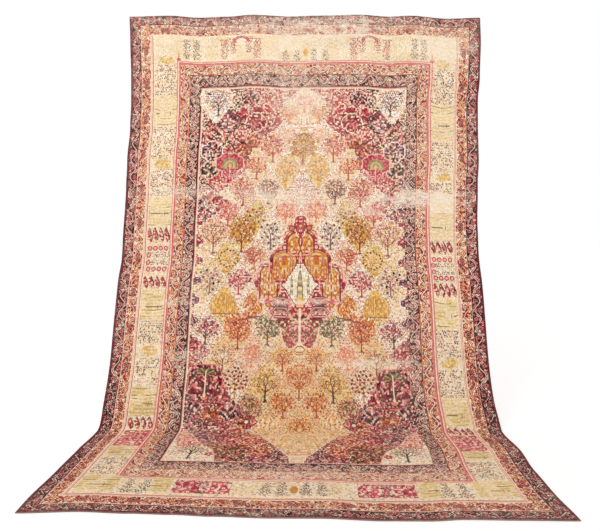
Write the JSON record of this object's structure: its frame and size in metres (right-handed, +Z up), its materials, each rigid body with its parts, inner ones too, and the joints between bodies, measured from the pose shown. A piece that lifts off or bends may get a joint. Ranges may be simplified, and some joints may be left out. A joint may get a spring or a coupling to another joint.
{
  "type": "persian rug",
  "caption": "Room-size hand-knotted Persian rug with a tree medallion and wide borders, hung by its top edge with its foot swept forward flat on the floor.",
  "frame": {"origin": "middle of the hung top edge, on the back of the cloth", "axes": "+Z up, -Y the way the pile faces and the foot runs, +X to the right of someone who faces the pile"},
  "size_m": [2.996, 1.7091, 3.2308],
  "materials": {
    "pile": "worn wool pile in ivory, rose, crimson, gold and aubergine, with the cotton foundation showing in places",
    "selvedge": "plum-crimson wool overcasting, matt"
  },
  "bodies": {
    "root": {"rug": "pile", "selvedge_left": "selvedge", "selvedge_right": "selvedge"}
  },
  "joints": []
}
